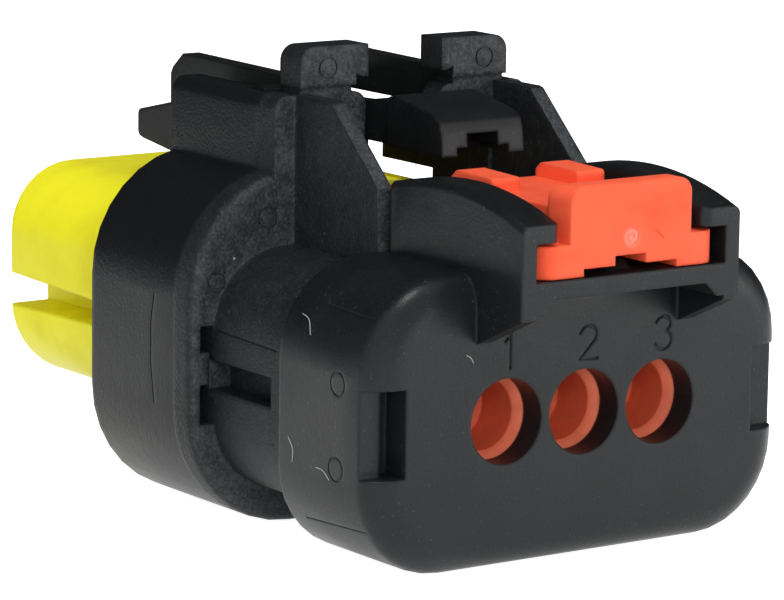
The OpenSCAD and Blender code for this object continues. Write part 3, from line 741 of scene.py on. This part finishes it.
class CONNECTOR_OT_studio(bpy.types.Operator):
    """Set the floor, the room light, the lamps and the camera"""

    bl_idname = "connector.studio"
    bl_label = "Studio"

    def execute(self, context):
        scene = context.scene
        scene.view_settings.view_transform = "Standard"
        self.room(scene)
        self.floor(scene)
        self.dark_card(scene)
        self.lamps(scene)
        self.camera(scene)
        return {"FINISHED"}

    def shown_white(self, w):
        """One where the camera, a mirror or clear matter looks, none elsewhere"""
        path = w.add("ShaderNodeLightPath")
        seen = w.math("MAXIMUM", path.outputs["Is Camera Ray"],
                      path.outputs["Is Transmission Ray"])
        return w.math("MAXIMUM", seen, path.outputs["Is Glossy Ray"])

    def room(self, scene):
        world = bpy.data.worlds.new("studio_room")
        scene.world = world
        world.use_nodes = True
        tree = world.node_tree
        tree.nodes.clear()
        w = Wires(tree)
        seen = self.shown_white(w)
        dim = w.add("ShaderNodeBackground",
                    {"Color": (0.95, 0.97, 1.0, 1), "Strength": scene.connector_studio.ambient})
        white = w.add("ShaderNodeBackground", {"Color": (1, 1, 1, 1), "Strength": 1.0})
        both = w.add("ShaderNodeMixShader", {"Fac": seen})
        w.put(both.inputs[1], dim.outputs[0])
        w.put(both.inputs[2], white.outputs[0])
        end = w.add("ShaderNodeOutputWorld")
        w.put(end.inputs["Surface"], both.outputs[0])

    def floor(self, scene):
        low = Vector(CAD_BOX[0])
        mesh = bpy.data.meshes.new("floor")
        side = 1.5
        mesh.from_pydata([(-side, -side, low.z), (side, -side, low.z),
                          (side, side, low.z), (-side, side, low.z)], [], [(0, 1, 2, 3)])
        floor = bpy.data.objects.new("floor", mesh)
        scene.collection.objects.link(floor)
        material, w, place, shader = start_material("pale_floor")
        mottle = place_group(w, "handling", {"Place": place, "Size": 0.01,
                                             "Low": 0.6, "High": 0.8})
        w.put(shader.inputs["Base Color"],
              w.mix(mottle.outputs["Cloud"], (0.80, 0.80, 0.80, 1), (0.84, 0.84, 0.84, 1)))
        w.put(shader.inputs["Roughness"], mottle.outputs["Roughness"])
        shader.inputs["Specular IOR Level"].default_value = 0.0
        seen = self.shown_white(w)
        w.put(shader.inputs["Emission Color"],
              w.mix(seen, (0, 0, 0, 1), (0.93, 0.93, 0.93, 1)))
        shader.inputs["Emission Strength"].default_value = 1.0
        mesh.materials.append(material)

    def dark_card(self, scene):
        """A dark card across the far side, which only keeps gloss off the upper faces"""
        mesh = bpy.data.meshes.new("dark_card")
        low = -0.003
        corners, faces = [], []
        for i in range(13):
            turn = math.radians(-72 + 174 * i / 12)
            for out, high in ((0.11, low), (0.10, 0.09), (0.03, 0.15)):
                corners.append((math.sin(turn) * out, math.cos(turn) * out, high))
        for i in range(12):
            for k in (0, 1):
                a = 3 * i + k
                faces.append((a, a + 1, a + 4, a + 3))
        mesh.from_pydata(corners, [], faces)
        card = bpy.data.objects.new("dark_card", mesh)
        scene.collection.objects.link(card)
        card.visible_camera = card.visible_diffuse = card.visible_shadow = False
        card.visible_transmission = False
        material, w, place, shader = start_material("dark_cloth")
        weave = place_group(w, "handling", {"Place": place, "Size": 0.002,
                                            "Low": 0.8, "High": 1.0})
        w.put(shader.inputs["Roughness"], weave.outputs["Roughness"])
        w.put(shader.inputs["Base Color"], w.mix(weave.outputs["Cloud"], (0.004, 0.004, 0.004, 1),
                                                 (0.008, 0.008, 0.008, 1)))
        mesh.materials.append(material)

    def lamps(self, scene):
        studio = scene.connector_studio
        middle = Vector((0, 0.012, 0.003))
        for name, place, size, tall, power, shines in (
            ("key", (0.30, -0.34, 0.05), 0.20, 0.09, studio.key_power, True),
            ("top", (-0.04, -0.07, 0.42), 0.05, 0.035, studio.top_power, True),
            ("side", (-0.36, 0.30, 0.09), 0.22, 0.14, studio.side_power, True),
            ("fill", (-0.22, -0.42, 0.16), 0.20, 0.20, studio.fill_power, False),
        ):
            light = bpy.data.lights.new(name, "AREA")
            light.shape = "RECTANGLE"
            light.size, light.size_y = size, tall
            light.energy = power
            lamp = bpy.data.objects.new(name, light)
            scene.collection.objects.link(lamp)
            lamp.location = place
            lamp.visible_glossy = shines
            lamp.rotation_euler = (middle - Vector(place)).to_track_quat("-Z", "Y").to_euler()

    def camera(self, scene):
        studio = scene.connector_studio
        az, el, roll = studio.azimuth, studio.elevation, studio.roll
        back = Vector((math.sin(az) * math.cos(el), -math.cos(az) * math.cos(el), math.sin(el)))
        level = Vector((math.cos(az), math.sin(az), 0))
        upright = back.cross(level)
        right = level * math.cos(roll) + upright * math.sin(roll)
        up = upright * math.cos(roll) - level * math.sin(roll)
        data = bpy.data.cameras.new("camera")
        data.lens = studio.lens
        data.sensor_width = 36
        data.clip_start, data.clip_end = 0.01, 10
        camera = bpy.data.objects.new("camera", data)
        scene.collection.objects.link(camera)
        turn = Matrix((right, up, back)).transposed().to_4x4()
        place = Vector(studio.target) + back * studio.distance
        camera.matrix_world = Matrix.Translation(place) @ turn
        scene.camera = camera


STEPS = (
    CONNECTOR_OT_black_parts,
    CONNECTOR_OT_seals,
    CONNECTOR_OT_locks,
    CONNECTOR_OT_marks,
    CONNECTOR_OT_lint,
    CONNECTOR_OT_studio,
)


class CONNECTOR_PT_looks(bpy.types.Panel):
    """Lists the sizes, colours and steps of the connector's looks"""

    bl_label = "Connector"
    bl_space_type = "VIEW_3D"
    bl_region_type = "UI"
    bl_category = "Connector"

    def draw(self, context):
        layout = self.layout
        for group in (context.scene.connector_finish, context.scene.connector_studio):
            box = layout.box()
            for name in group.__annotations__:
                box.prop(group, name)
        for step in STEPS:
            layout.operator(step.bl_idname)


CLASSES = (FinishSettings, StudioSettings, *STEPS, CONNECTOR_PT_looks)


def register():
    for cls in CLASSES:
        bpy.utils.register_class(cls)
    bpy.types.Scene.connector_finish = PointerProperty(type=FinishSettings)
    bpy.types.Scene.connector_studio = PointerProperty(type=StudioSettings)


def unregister():
    del bpy.types.Scene.connector_studio
    del bpy.types.Scene.connector_finish
    for cls in reversed(CLASSES):
        bpy.utils.unregister_class(cls)


def main():
    register()
    for step in STEPS:
        space, name = step.bl_idname.split(".")
        getattr(getattr(bpy.ops, space), name)()


if __name__ == "__main__":
    main()
